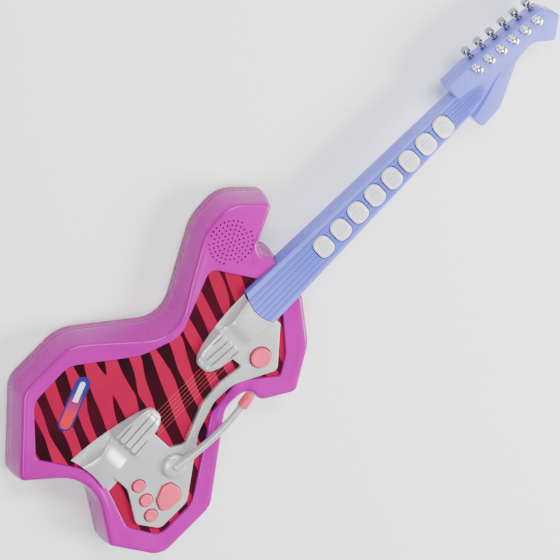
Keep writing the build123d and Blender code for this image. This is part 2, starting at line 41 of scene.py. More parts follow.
# ---- sizes shared with the CAD model, in millimetres ----------------------------------
SEAM_Z = 12.0
RECESS_Z = 35.05
RECESS_EDGE_Z = 38.9
PANEL_Z = 36.5
PLATE_Z = 40.3
NECK_SEAM = 33.0
NUT_Y = 382.0
HEEL_Y = 120.5
HEEL_BULGE = 6.0
NUT_HALF = 12.6
NECK_FLARE = 0.0323
HEAD_Z = 45.0
FRET_YS = [356.5 - 22.2 * i for i in range(8)]
TUNER_YS = [420.0 + 14.1 * i for i in range(6)]
TUNER_Z = 33.0
ROUND_AT = (37.6, 87.4)
SMALL_AT = [(42.8, -76.8), (59.0, -81.9), (74.0, -89.2)]
PAD_AT = (72.5, -63.0)
PIVOT = (54.3, -40.5)
SPEAKER_AT = (-68.0, 143.5)
CLAMP_R = 21.8
CLAMP_ANGLES = (-40, 90, 217)
BOARD_POSTS = [(37, -96), (87, -95), (87, -53), (37, -54), (27, 77), (49, 98)]
GRILLE_RINGS = 5
GRILLE_PITCH = 4.2
GRILLE_HOLE_R = 0.85
CLAMP_CLEAR = 3.4
HUMP_X = 2.5
UPPER_TIP_Y = 42.0
LOWER_TIP_Y = -15.0
SLOT_OFFSETS = (-11.25, -3.75, 3.75, 11.25)
TAIL_ARC_Y = -170.0
TAIL_ARC_R = 72.0
POST_IN = 4.6
POST_DOWN = 4.6
STRING_SHARE = 0.262  # string pitch over the neck's half width
FINE_WELD = 0.000001  # metres, after a cut
FLOOR_Z = -0.001  # metres, just under the back so that the two share no plane

# Outlines: corner x, corner y, corner radius, anticlockwise.
BODY = [
    (27, 158, 9), (-24, 165, 9), (-40.5, 157, 8), (-64.5, 202, 8), (-101, 169, 34),
    (-97.5, 132, 40), (-48, 50, 30), (-114, -24, 40), (-113.5, -88, 22), (-47.5, -153.5, 9),
    (4, -103, 40), (67, -141, 9), (118, -113, 24), (118, -44, 26), (54, 33, 18),
    (56, 54, 7), (74, 56, 12), (96, 88, 11), (67, 131, 40),
]
RECESS = [
    (19, 134, 2), (-18, 139, 2), (-63, 113, 8), (-35, 50, 25), (-50, 12, 50),
    (-95, -40, 22), (-93.5, -86, 18), (-51, -123, 5), (5, -92, 30), (66, -113, 9),
    (97.5, -98, 15), (97.5, -55, 20), (44, 18, 14), (40, 58, 8), (68, 88, 4), (56, 106, 25),
]
HEAD = [
    (30, NUT_Y, 5), (28, 408, 14), (5.5, 448, 14), (4, 470, 14), (19, 487, 3), (3, 506, 5),
    (-15, 497, 5), (-25.5, 408, 20), (-26, 384, 4),
]
SILVER = [
    (12, -86.5, 2), (38, -86.5, 14), (70, -105, 7), (91.5, -92, 8), (91.5, -57, 14), (48, -3, 40),
    (36.5, 28, 30), (38, 52, 30), (60.5, 90, 6), (28, 122.5, 2), (16, 122.5, 2), (16, 68, 2),
    (31, 69.5, 2.5), (27, 45, 30), (29, 20, 30), (47, -19, 8), (38, -31.5, 5), (12, -31.5, 2),
]
PAD = [(-12.4, 1.0, 5.0), (-6.0, -13.0, 7.0), (5.2, -17.5, 4.5), (10.6, -10.5, 6.0), (11.6, 5.0, 5.0),
       (2.0, 11.0, 7.0), (-9.4, 9.2, 5.0)]


# ---- outline tools --------------------------------------------------------------------
def inset(corners, depth):
    """Corners of the outline moved inwards: straight sides shift, round corners change radius."""
    moved = []
    count = len(corners)
    for i in range(count):
        before, here, after = corners[i - 1], corners[i], corners[(i + 1) % count]
        a = Vector((here[0] - before[0], here[1] - before[1])).normalized()
        b = Vector((after[0] - here[0], after[1] - here[1])).normalized()
        turn = a.cross(b)
        mid = (a + b).normalized()
        side = Vector((-mid.y, mid.x))
        reach = depth / max(0.2, side.dot(Vector((-a.y, a.x))))
        radius = here[2] - depth if turn > 0 else here[2] + depth
        moved.append((here[0] + side.x * reach, here[1] + side.y * reach, max(0.25, radius)))
    return moved


def trace(corners, arc_steps=8, side_steps=6):
    """Points round an outline; the same number for each corner, so insets match point for point."""
    points = []
    count = len(corners)
    arcs = []
    for i in range(count):
        before, here, after = corners[i - 1], corners[i], corners[(i + 1) % count]
        spot = Vector(here[:2])
        a = (spot - Vector(before[:2])).normalized()
        b = (Vector(after[:2]) - spot).normalized()
        turn = atan2(a.cross(b), a.dot(b))
        length = here[2] * tan(abs(turn) / 2)
        start = spot - a * length
        sign = 1 if turn > 0 else -1
        centre = start + Vector((-a.y, a.x)) * here[2] * sign
        arm = start - centre
        arc = []
        for k in range(arc_steps + 1):
            angle = turn * k / arc_steps
            arc.append(centre + Vector((arm.x * cos(angle) - arm.y * sin(angle),
                                        arm.x * sin(angle) + arm.y * cos(angle))))
        arcs.append(arc)
    for i in range(count):
        points += arcs[i]
        start, end = arcs[i][-1], arcs[(i + 1) % count][0]
        points += [start.lerp(end, k / side_steps) for k in range(1, side_steps)]
    return points


def lift(points, z):
    """Flat points as a ring at a height."""
    return [(p[0], p[1], z) for p in points]


# ---- mesh tools -----------------------------------------------------------------------
def build(name, verts, faces, sharp=32):
    """Mesh object from millimetre points, shaded smooth but for its real edges."""
    mesh = bpy.data.meshes.new(name)
    mesh.from_pydata([(x * MM, y * MM, z * MM) for x, y, z in verts], [], faces)
    piece = bpy.data.objects.new(name, mesh)
    bpy.context.scene.collection.objects.link(piece)
    tidy(piece, sharp)
    return piece


def tidy(piece, sharp=32, merge=0.00001):
    """Welds, turns the faces outwards and sets the shading."""
    shape = bmesh.new()
    shape.from_mesh(piece.data)
    bmesh.ops.remove_doubles(shape, verts=shape.verts, dist=merge)
    bmesh.ops.recalc_face_normals(shape, faces=shape.faces)
    shape.to_mesh(piece.data)
    shape.free()
    piece.data.shade_smooth()
    piece.data.set_sharp_from_angle(angle=radians(sharp))


def rings_solid(name, rings, sharp=32):
    """Closed skin over rings that all have the same number of points."""
    verts = [p for ring in rings for p in ring]
    width = len(rings[0])
    faces = []
    for r in range(len(rings) - 1):
        for i in range(width):
            j = (i + 1) % width
            faces.append((r * width + i, r * width + j, (r + 1) * width + j, (r + 1) * width + i))
    faces.append(tuple(range(width))[::-1])
    last = (len(rings) - 1) * width
    faces.append(tuple(range(last, last + width)))
    return build(name, verts, faces, sharp)


def slab(name, corners, low, high, round_edge, foot=0.0, steps=5, dish=0.0, sharp=32):
    """Plate with an outline and a rounded top edge; dish sinks or crowns the top."""
    rings = [lift(trace(inset(corners, foot)), low), lift(trace(inset(corners, 0)), low + max(foot, 0.01))]
    for k in range(steps + 1):
        angle = k / steps * pi / 2
        depth = round_edge * (1 - cos(angle))
        rings.append(lift(trace(inset(corners, depth)), high - round_edge + round_edge * sin(angle)))
    if dish:
        centre = Vector((sum(c[0] for c in corners), sum(c[1] for c in corners))) / len(corners)
        edge = trace(inset(corners, round_edge))
        for share in (0.85, 0.65, 0.42, 0.2, 0.04):
            ring = [centre.lerp(p, share) for p in edge]
            rings.append(lift(ring, high + dish * (1 - share ** 2)))
    return rings_solid(name, rings, sharp)


def round_profile(name, profile, at, steps=64, sharp=32):
    """Turned piece about an upright axis: profile is radius and height."""
    rings = []
    for radius, z in profile:
        rings.append([(at[0] + radius * cos(2 * pi * k / steps), at[1] + radius * sin(2 * pi * k / steps), z)
                      for k in range(steps)])
    return rings_solid(name, rings, sharp)


def cut(piece, cutter):
    """Takes the cutter's volume out of the piece."""
    change = piece.modifiers.new("cut", "BOOLEAN")
    change.operation = "DIFFERENCE"
    change.solver = "EXACT"
    change.object = cutter
    bpy.context.view_layer.update()
    seen = bpy.context.evaluated_depsgraph_get()
    result = bpy.data.meshes.new_from_object(piece.evaluated_get(seen))
    piece.modifiers.clear()
    old = piece.data
    piece.data = result
    bpy.data.meshes.remove(old)
    remove(cutter)


def remove(piece):
    """Deletes a piece and its mesh."""
    mesh = piece.data
    bpy.data.objects.remove(piece)
    bpy.data.meshes.remove(mesh)


def join(name, pieces):
    """One object from several, with the first one's shading kept."""
    shape = bmesh.new()
    for piece in pieces:
        shape.from_mesh(piece.data)
    mesh = bpy.data.meshes.new(name)
    shape.to_mesh(mesh)
    shape.free()
    for piece in pieces:
        remove(piece)
    whole = bpy.data.objects.new(name, mesh)
    bpy.context.scene.collection.objects.link(whole)
    return whole


def blend_knots(knots, x):
    """Smooth curve through (x, value) knots."""
    if x <= knots[0][0]:
        return knots[0][1]
    for (x0, v0), (x1, v1) in zip(knots, knots[1:]):
        if x <= x1:
            share = (x - x0) / (x1 - x0)
            share = share * share * (3 - 2 * share)
            return v0 + (v1 - v0) * share
    return knots[-1][1]


def line_knots(knots, x):
    """Straight-line interpolation between knots."""
    if x <= knots[0][0]:
        return knots[0][1]
    for (x0, v0), (x1, v1) in zip(knots, knots[1:]):
        if x <= x1:
            return v0 + (v1 - v0) * (x - x0) / (x1 - x0)
    return knots[-1][1]


def neck_half(y):
    """Half the neck's width at a place along it."""
    return NUT_HALF + (NUT_Y - y) * NECK_FLARE


def heel_end(x):
    """Y of the neck's bowed end at a place across it."""
    return HEEL_Y - HEEL_BULGE * (1 - (x / neck_half(HEEL_Y)) ** 2)


# ---- materials ------------------------------------------------------------------------
def new_material(name):
    """Empty node material with one principled shader."""
    material = bpy.data.materials.new(name)
    material.use_nodes = True
    nodes = material.node_tree.nodes
    nodes.clear()
    out = nodes.new("ShaderNodeOutputMaterial")
    shader = nodes.new("ShaderNodeBsdfPrincipled")
    material.node_tree.links.new(shader.outputs[0], out.inputs[0])
    return material, nodes, material.node_tree.links, shader


def noise(nodes, links, scale, detail=3.0, rough=0.5):
    """Noise fixed to the piece."""
    place = nodes.new("ShaderNodeTexCoord")
    texture = nodes.new("ShaderNodeTexNoise")
    texture.inputs["Scale"].default_value = scale
    texture.inputs["Detail"].default_value = detail
    texture.inputs["Roughness"].default_value = rough
    links.new(place.outputs["Object"], texture.inputs["Vector"])
    return texture.outputs[0]


def spread(nodes, links, value, low, high):
    """Noise carried onto a range."""
    node = nodes.new("ShaderNodeMapRange")
    node.inputs["From Min"].default_value = 0.3
    node.inputs["From Max"].default_value = 0.7
    node.inputs["To Min"].default_value = low
    node.inputs["To Max"].default_value = high
    links.new(value, node.inputs["Value"])
    return node.outputs[0]


def tint(nodes, links, factor, first, second):
    """Mix of two colours, each a tuple or a socket."""
    node = nodes.new("ShaderNodeMix")
    node.data_type = "RGBA"
    links.new(factor, node.inputs[0])
    for socket, value in ((6, first), (7, second)):
        if isinstance(value, tuple):
            node.inputs[socket].default_value = (*value, 1)
        else:
            links.new(value, node.inputs[socket])
    return node.outputs[2]


def relief(nodes, links, shader, height, strength, distance=0.0004):
    """Fine bump on the shader's normal."""
    bump = nodes.new("ShaderNodeBump")
    bump.inputs["Strength"].default_value = strength
    bump.inputs["Distance"].default_value = distance
    links.new(height, bump.inputs["Height"])
    links.new(bump.outputs[0], shader.inputs["Normal"])


def plastic(name, deep, light, rough=(0.2, 0.3), coat=0.3, peel=0.05, metallic=0.0, speck=0.0, grain=900,
            specular=0.35):
    """Moulded plastic: slow colour drift, faint skin texture, handling marks in the gloss."""
    material, nodes, links, shader = new_material(name)
    drift = spread(nodes, links, noise(nodes, links, 14, 2), 0.0, 1.0)
    colour = tint(nodes, links, drift, deep, light)
    if speck:
        flake = spread(nodes, links, noise(nodes, links, 2600, 1), 0.0, speck)
        colour = tint(nodes, links, flake, colour, (0.95, 0.95, 0.97))
    links.new(colour, shader.inputs["Base Color"])
    marks = spread(nodes, links, noise(nodes, links, 60, 5, 0.65), *rough)
    links.new(marks, shader.inputs["Roughness"])
    shader.inputs["Metallic"].default_value = metallic
    shader.inputs["Specular IOR Level"].default_value = specular
    shader.inputs["Coat Weight"].default_value = coat
    shader.inputs["Coat Roughness"].default_value = 0.08
    relief(nodes, links, shader, noise(nodes, links, grain, 3, 0.6), peel)
    return material


def metal(name, colour, rough=(0.08, 0.16), grain=700, peel=0.03):
    """Plated or bare metal with smudges in its gloss."""
    material, nodes, links, shader = new_material(name)
    drift = spread(nodes, links, noise(nodes, links, 40, 3), 0.0, 1.0)
    darker = tuple(c * 0.86 for c in colour)
    links.new(tint(nodes, links, drift, darker, colour), shader.inputs["Base Color"])
    links.new(spread(nodes, links, noise(nodes, links, 160, 4), *rough), shader.inputs["Roughness"])
    shader.inputs["Metallic"].default_value = 1.0
    relief(nodes, links, shader, noise(nodes, links, grain, 2), peel)
    return material


def maths(nodes, links, operation, first, second=None, third=None):
    """One math node; each value is a number or a socket."""
    node = nodes.new("ShaderNodeMath")
    node.operation = operation
    for socket, value in enumerate((first, second, third)):
        if value is None:
            continue
        if isinstance(value, (int, float)):
            node.inputs[socket].default_value = value
        else:
            links.new(value, node.inputs[socket])
    return node.outputs[0]


def striped_panel():
    """Glossy insert: tapering crimson and plum stripes, with six faint string lines."""
    material, nodes, links, shader = new_material("panel_stripes")
    place = nodes.new("ShaderNodeTexCoord")
    split = nodes.new("ShaderNodeSeparateXYZ")
    links.new(place.outputs["Object"], split.inputs[0])
    x, y = split.outputs[0], split.outputs[1]
    slope = 0.37
    across = maths(nodes, links, "MULTIPLY_ADD", x, slope, y)
    warp = maths(nodes, links, "MULTIPLY_ADD", noise(nodes, links, 9, 0), 0.022, across)
    wave = maths(nodes, links, "SINE", maths(nodes, links, "MULTIPLY", warp, 2 * pi / 0.0215))
    along = maths(nodes, links, "MULTIPLY_ADD", y, -slope, x)
    grain = nodes.new("ShaderNodeCombineXYZ")
    links.new(maths(nodes, links, "MULTIPLY", along, 13), grain.inputs[0])
    links.new(maths(nodes, links, "MULTIPLY", across, 44), grain.inputs[1])
    taper = nodes.new("ShaderNodeTexNoise")
    taper.inputs["Scale"].default_value = 1.0
    taper.inputs["Detail"].default_value = 0.6
    links.new(grain.outputs[0], taper.inputs["Vector"])
    bias = maths(nodes, links, "MULTIPLY_ADD", taper.outputs[0], 5.4, -2.75)
    total = maths(nodes, links, "ADD", wave, bias)
    edge = nodes.new("ShaderNodeMapRange")
    edge.inputs["From Min"].default_value = -0.05
    edge.inputs["From Max"].default_value = 0.05
    links.new(total, edge.inputs["Value"])
    stripes = tint(nodes, links, edge.outputs[0], (0.30, 0.0, 0.035), (0.004, 0.0, 0.002))
    glow = spread(nodes, links, noise(nodes, links, 9, 2), 0.0, 0.35)
    stripes = tint(nodes, links, glow, stripes, (0.13, 0.0, 0.015))
    step = maths(nodes, links, "PINGPONG", maths(nodes, links, "ADD", x, -0.0035), 0.0018)
    line = maths(nodes, links, "LESS_THAN", step, 0.00022)
    inside = maths(nodes, links, "MULTIPLY", maths(nodes, links, "GREATER_THAN", x, 0.0025),
                   maths(nodes, links, "LESS_THAN", x, 0.0225))
    band = maths(nodes, links, "MULTIPLY", maths(nodes, links, "GREATER_THAN", y, -0.04),
                 maths(nodes, links, "LESS_THAN", y, 0.065))
    line = maths(nodes, links, "MULTIPLY", line, maths(nodes, links, "MULTIPLY", inside, band))
    line = maths(nodes, links, "MULTIPLY", line, 0.45)
    printed = tint(nodes, links, line, stripes, (0.60, 0.10, 0.08))
    links.new(emblem(nodes, links, x, y, printed), shader.inputs["Base Color"])
    links.new(spread(nodes, links, noise(nodes, links, 70, 4), 0.12, 0.22), shader.inputs["Roughness"])
    shader.inputs["Specular IOR Level"].default_value = 0.3
    shader.inputs["Coat Weight"].default_value = 0.1
    shader.inputs["Coat Roughness"].default_value = 0.05
    relief(nodes, links, shader, noise(nodes, links, 500, 2), 0.03)
    return material


def emblem(nodes, links, x, y, under):
    """Plain printed lozenge: blue rim, red core fading to blue, one silver bar."""
    lean_x, lean_y = -0.40, 0.917
    dx = maths(nodes, links, "ADD", x, 0.063)
    dy = maths(nodes, links, "ADD", y, 0.062)
    along = maths(nodes, links, "MULTIPLY_ADD", dx, lean_x, maths(nodes, links, "MULTIPLY", dy, lean_y))
    side = maths(nodes, links, "MULTIPLY_ADD", dx, lean_y, maths(nodes, links, "MULTIPLY", dy, -lean_x))
    held = maths(nodes, links, "MINIMUM", maths(nodes, links, "MAXIMUM", along, -0.020), 0.020)
    past = maths(nodes, links, "SUBTRACT", along, held)
    reach = maths(nodes, links, "SQRT", maths(nodes, links, "MULTIPLY_ADD", past, past,
                                              maths(nodes, links, "MULTIPLY", side, side)))
    fade = nodes.new("ShaderNodeMapRange")
    fade.inputs["From Min"].default_value = -0.014
    fade.inputs["From Max"].default_value = 0.010
    links.new(along, fade.inputs["Value"])
    core = tint(nodes, links, fade.outputs[0], (0.50, 0.01, 0.02), (0.02, 0.02, 0.16))
    bar = maths(nodes, links, "MULTIPLY", maths(nodes, links, "LESS_THAN", reach, 0.0026),
                maths(nodes, links, "GREATER_THAN", along, 0.002))
    core = tint(nodes, links, bar, core, (0.62, 0.62, 0.66))
    whole = tint(nodes, links, maths(nodes, links, "GREATER_THAN", reach, 0.0056), core, (0.02, 0.015, 0.12))
    return tint(nodes, links, maths(nodes, links, "LESS_THAN", reach, 0.0075), under, whole)


def make_materials():
    """Every finish on the guitar, by short name."""
    return {
        "purple": plastic("gloss_purple", (0.28, 0.0, 0.215), (0.34, 0.0, 0.265), (0.14, 0.24), 0.0,
                          specular=0.22),
        "purple_dark": plastic("back_purple", (0.24, 0.0, 0.16), (0.28, 0.0, 0.20), (0.24, 0.34), 0.0,
                               specular=0.25),
        "panel": striped_panel(),
        "silver": plastic("satin_silver", (0.40, 0.40, 0.42), (0.50, 0.50, 0.52), (0.26, 0.36), 0.15,
                          0.06, metallic=0.35, speck=0.10),
        "lavender": plastic("neck_lavender", (0.13, 0.15, 0.66), (0.17, 0.19, 0.76), (0.24, 0.36), 0.0, 0.06,
                            specular=0.25),
        "pearl": plastic("pearl_button", (0.66, 0.65, 0.70), (0.78, 0.78, 0.83), (0.16, 0.26), 0.6, 0.04,
                         speck=0.2),
        "pink": plastic("pink_button", (0.62, 0.045, 0.10), (0.72, 0.07, 0.14), (0.26, 0.38), 0.0, 0.05,
                        specular=0.3),
        "chrome": metal("chrome", (0.86, 0.86, 0.88)),
        # dark chrome for the pegs; on the tuner bushings this dark metal is painted shade: it stands in for
        # the posts' shadow and reflection on the headstock's side wall
        "dark_chrome_and_painted_shade": metal("dark_chrome_and_painted_shade", (0.30, 0.30, 0.33), (0.12, 0.22)),
        "steel": metal("screw_steel", (0.55, 0.55, 0.57), (0.25, 0.4)),
        "dark": plastic("dark_plastic", (0.03, 0.03, 0.035), (0.05, 0.05, 0.055), (0.4, 0.55), 0.0, 0.15),
        "board": plastic("green_board", (0.012, 0.11, 0.03), (0.02, 0.15, 0.045), (0.3, 0.45), 0.2),
        "rubber": plastic("grey_rubber", (0.30, 0.30, 0.31), (0.36, 0.36, 0.37), (0.6, 0.75), 0.0, 0.1),
        "paper": plastic("speaker_paper", (0.02, 0.02, 0.02), (0.045, 0.045, 0.045), (0.7, 0.9), 0.0, 0.5),
        "cell": plastic("cell_wrap", (0.04, 0.05, 0.07), (0.06, 0.07, 0.09), (0.25, 0.35), 0.3),
        "wire": plastic("wire_cover", (0.02, 0.02, 0.02), (0.05, 0.05, 0.05), (0.4, 0.5), 0.1),
    }


# ---- body -----------------------------------------------------------------------------
def body_front():
    """Front half: leaning flank, tight shoulder, land sloping to the recess."""
    full = 10.0
    least_lean = 4.0
    outside = trace(BODY)
    inner = trace(inset(BODY, full))
    lean = []
    for p in outside:
        waist = exp(-((p.y - 40) / 34) ** 2) if p.x < 0 else 0.0
        lean.append(least_lean + 4.5 * waist)

    def ring(depth, z, share):
        """Ring at a depth; share says how much of the waist's extra lean it takes."""
        points = []
        for p, q, own in zip(outside, inner, lean):
            points.append(p.lerp(q, (depth + (own - least_lean) * share) / full))
        return [(p.x, p.y, z) for p in points]

    rings = [ring(0.6, SEAM_Z, 0), ring(0.15, SEAM_Z + 0.35, 0), ring(0.0, SEAM_Z + 1.2, 0)]
    flank_top = 37.2
    rise = flank_top - SEAM_Z - 1.2
    for k in range(1, 8):
        share = k / 7
        curve = share ** 1.5
        rings.append(ring(least_lean * curve, SEAM_Z + 1.2 + rise * share, curve))
    shoulder = 4.0
    for k in range(1, 7):
        angle = radians(14 + 76 * k / 6)
        start = radians(14)
        depth = least_lean + shoulder * (cos(start) - cos(angle))
        rings.append(ring(depth, flank_top + shoulder * (sin(angle) - sin(start)), 1))
    edge = rings[-1]
    match = match_rings([Vector(p[:2]) for p in edge], trace(RECESS, 8, 12))
    steps = 9
    rim = at_index(trace(inset(RECESS, -1.0), 8, 12), match)
    top = edge[0][2]
    for k in range(1, steps + 1):
        share = k / steps
        z = top + 0.25 * sin(pi * min(1, share * 2.5)) - (top - RECESS_EDGE_Z) * share ** 1.25
        rings.append([(*Vector(a[:2]).lerp(b, share), z) for a, b in zip(edge, rim)])
    for depth, z in ((-0.45, RECESS_EDGE_Z - 0.2), (-0.1, RECESS_EDGE_Z - 0.7), (0.1, RECESS_EDGE_Z - 1.4),
                     (0.35, RECESS_Z)):
        rings.append(lift(at_index(trace(inset(RECESS, depth), 8, 12), match), z))
    shell = rings_solid("body_front", rings, 30)
    cut(shell, neck_prism(0.45, 21.8, 60))
    cut(shell, grille_cutter())
    tidy(shell, 30, FINE_WELD)
    return shell


def match_rings(outer, inner):
    """For each outer point, the place along the inner ring that faces it, never going back."""
    count = len(inner)
    places = []
    at = 0
    for p in outer:
        best = min(range(at, at + 40), key=lambda k: (inner[k % count] - p).length)
        at = min(best, count)
        places.append(float(at))
    for _ in range(10):
        padded = [places[-1] - count] + places + [places[0] + count]
        places = [(a + b + c) / 3 for a, b, c in zip(padded, padded[1:], padded[2:])]
    return places


def at_index(points, places):
    """Points at fractional places along a ring."""
    count = len(points)
    found = []
    for place in places:
        low = int(place // 1)
        found.append(points[low % count].lerp(points[(low + 1) % count], place - low))
    return found


def neck_prism(gap, low, high, top_y=232):
    """Upright block of the neck's outline, grown by a gap."""
    half_low, half_high = neck_half(HEEL_Y) + gap, neck_half(top_y) + gap
    outline = [(half_high, top_y), (-half_high, top_y)]
    steps = 24
    for k in range(steps + 1):
        x = -half_low + 2 * half_low * k / steps
        outline.append((x, heel_end(x * neck_half(HEEL_Y) / half_low) - gap))
    return rings_solid("neck_block", [lift(outline, low), lift(outline, high)])


def grille_cutter():
    """Speaker holes on five rings, but for the places of the clamp screws."""
    screws = [(CLAMP_R * cos(radians(a)), CLAMP_R * sin(radians(a))) for a in CLAMP_ANGLES]
    holes = [(0, 0)]
    for ring in range(1, GRILLE_RINGS + 1):
        for k in range(6 * ring):
            angle = 2 * pi * k / (6 * ring)
            at = (GRILLE_PITCH * ring * cos(angle), GRILLE_PITCH * ring * sin(angle))
            if all(hypot(at[0] - x, at[1] - y) > CLAMP_CLEAR for x, y in screws):
                holes.append(at)
    verts, faces = [], []
    sides = 12
    for x, y in holes:
        base = len(verts)
        for z in (36.5, 45.0):
            for k in range(sides):
                angle = 2 * pi * k / sides
                verts.append((SPEAKER_AT[0] + x + GRILLE_HOLE_R * cos(angle),
                              SPEAKER_AT[1] + y + GRILLE_HOLE_R * sin(angle), z))
        faces.append(tuple(range(base, base + sides))[::-1])
        faces.append(tuple(range(base + sides, base + 2 * sides)))
        for k in range(sides):
            j = (k + 1) % sides
            faces.append((base + k, base + j, base + sides + j, base + sides + k))
    return build("grille_cutter", verts, faces)


# ---- silver cover ---------------------------------------------------------------------
def hump(name, tip_y, way, pads, bases, teeth, trough, crest, heights, end_at):
    """Moulded cover about HUMP_X: slotted claw, a dip, then a hood that flares to its end.

    pads and bases give half widths of the top and the foot along the cover; heights are for the
    tip, the teeth, the trough, the crest and the end, above the panel.
    """
    tip_z, teeth_z, trough_z, crest_z, end_z = heights
    flat, wall = 44, 12
    fractions = [-1 + 2 * k / flat for k in range(flat + 1)]
    longest = end_at(HUMP_X)
    steps = [longest * (k / 26) ** 1.6 * 0.3 for k in range(26)]
    steps += [longest * 0.3 + (teeth - 4 - longest * 0.3) * k / 14 for k in range(14)]
    steps += [teeth - 4 + 7 * k / 28 for k in range(28)]
    steps += [teeth + 3 + (longest - teeth - 3) * k / 40 for k in range(41)]

    def height(q, dx, reach):
        rib = min((-15.0, -7.5, 0.0, 7.5, 15.0), key=lambda centre: abs(centre - dx))
        finger = q + 1.6 * ((dx - rib) / 3.75) ** 2
        claw = blend_knots([(0, tip_z), (1.2, tip_z + 1.9), (4, tip_z + 3.2), (9, tip_z + 4.2)], q)
        claw += (teeth_z - tip_z - 4.2) * min(1, max(0, (q - 6) / (teeth - 6)))
        drop = blend_knots([(teeth - 0.9, 0), (teeth + 1.3, 1)], finger)
        hood = blend_knots([(teeth - 2, trough_z), (trough, trough_z + 0.6), (crest, crest_z)], q)
        if q > crest:
            hood += (end_z - crest_z) * ((q - crest) / (reach - crest)) ** 1.6
        return claw + (hood - claw) * drop

    rows = []
    for q in steps:
        top, base = line_knots(pads, q), line_knots(bases, q)
        row = []
        for k in range(-wall, flat + wall + 1):
            if 0 <= k <= flat:
                dx = fractions[k] * top
                fall = 0.9 * abs(fractions[k]) ** 6
            else:
                share = (-k if k < 0 else k - flat) / wall
                side = -1 if k < 0 else 1
                foot = base * (0.9 if side > 0 else 1.0)
                dx = side * (top + (foot - top) * share ** 1.25)
                fall = None
            reach = end_at(HUMP_X + dx)
            at = q / longest * reach
            if fall is None:
                edge = height(at, side * top, reach) - 0.9
                hollow = 0.95 + 0.75 * min(1, max(0, (at - teeth) / 12))
                z = edge * (1 - share) ** hollow
            else:
                z = height(at, dx, reach) - fall
            row.append((HUMP_X + dx, tip_y + way * at, PANEL_Z + z))
        rows.append(row)
    across = len(rows[0])
    verts = [p for row in rows for p in row]
    faces = []
    for n in range(len(rows) - 1):
        for k in range(across - 1):
            a = n * across + k
            faces.append((a, a + 1, a + across + 1, a + across))
    count = len(verts)
    verts += [(x, y, PANEL_Z - 0.3) for x, y, z in verts[:]]
    faces += [tuple(count + n for n in reversed(face)) for face in faces[:]]
    last = (len(rows) - 1) * across
    border = list(range(across)) + [n * across + across - 1 for n in range(1, len(rows))]
    border += [last + k for k in range(across - 2, -1, -1)]
    border += [n * across for n in range(len(rows) - 2, 0, -1)]
    for a, b in zip(border, border[1:] + border[:1]):
        faces.append((a, b, count + b, count + a))
    cover = build(name, verts, faces, 35)
    for offset in SLOT_OFFSETS:
        start = 3.5
        while line_knots(pads, start) < abs(offset) + 2.2:
            start += 0.5
        cut(cover, slot_cutter(offset, tip_y, way, start, teeth + 3, tip_z, teeth_z, teeth))
    tidy(cover, 35, FINE_WELD)
    return cover


def slot_cutter(offset, tip_y, way, start, end, tip_z, teeth_z, teeth):
    """Thin upright blade whose foot follows the claw's slope."""
    half = 0.9
    rings = []
    for k in range(9):
        q = start + (end - start) * k / 8
        slope = tip_z + 4.2 + (teeth_z - tip_z - 4.2) * min(1, max(0, (q - 6) / (teeth - 6)))
        foot = PANEL_Z + slope - 4.0 * min(1, 0.3 + k / 3)
        y = tip_y + way * q
        x = HUMP_X + offset
        rings.append([(x - half, y, foot), (x + half, y, foot), (x + half, y, 60), (x - half, y, 60)])
    return rings_solid("slot", rings)


def silver_cover():
    """Plate with button holes, and the two humps."""
    plate = slab("plate", SILVER, PANEL_Z - 0.2, PLATE_Z, 1.1, steps=5)
    cut(plate, round_profile("hole", [(10.9, 30), (10.9, 50)], ROUND_AT, 72))
    for at in SMALL_AT:
        cut(plate, round_profile("hole", [(7.1, 30), (7.1, 50)], at, 48))
    cut(plate, slab("hole", inset(pad_corners(), -0.45), 30, 50, 0.01, steps=1))
    cut(plate, round_profile("hole", [(12.6, PLATE_Z - 0.5), (12.6, 50)], PIVOT, 72))
    tidy(plate, 30, FINE_WELD)
    upper_tops = [(0, 4.0), (1.5, 7.0), (5, 9.5), (12, 12.0), (25, 13.8), (36, 14.6), (42, 13.4),
                  (50, 13.2), (62, 15.5), (80, 18.5)]
    upper_feet = [(0, 4.6), (1.5, 7.8), (5, 10.8), (15, 15.0), (27, 18.0), (40, 20.0), (55, 21.5), (80, 21.8)]
    upper = hump("upper", UPPER_TIP_Y, 1, upper_tops, upper_feet, 36.0, 40.0, 53.0,
                 (1.2, 9.6, 4.0, 9.4, 8.4), lambda x: heel_end(x) - 0.7 - UPPER_TIP_Y)
    lower_tops = [(0, 3.6), (1.5, 6.5), (5, 9.0), (12, 11.5), (28, 14.0), (44, 15.2), (52, 13.0),
                  (63, 12.0), (76, 13.5), (90, 17.5)]
    lower_feet = [(0, 4.2), (1.5, 7.2), (5, 10.0), (15, 14.0), (33, 19.0), (46, 22.0), (63, 25.0), (90, 27.5)]
    lower = hump("lower", LOWER_TIP_Y, -1, lower_tops, lower_feet, 43.0, 48.0, 65.0,
                 (1.2, 9.6, 3.8, 8.8, 5.4),
                 lambda x: LOWER_TIP_Y - (TAIL_ARC_Y + sqrt(TAIL_ARC_R ** 2 - min(x * x, 1600))))
    return join("silver_cover", [plate, upper, lower])


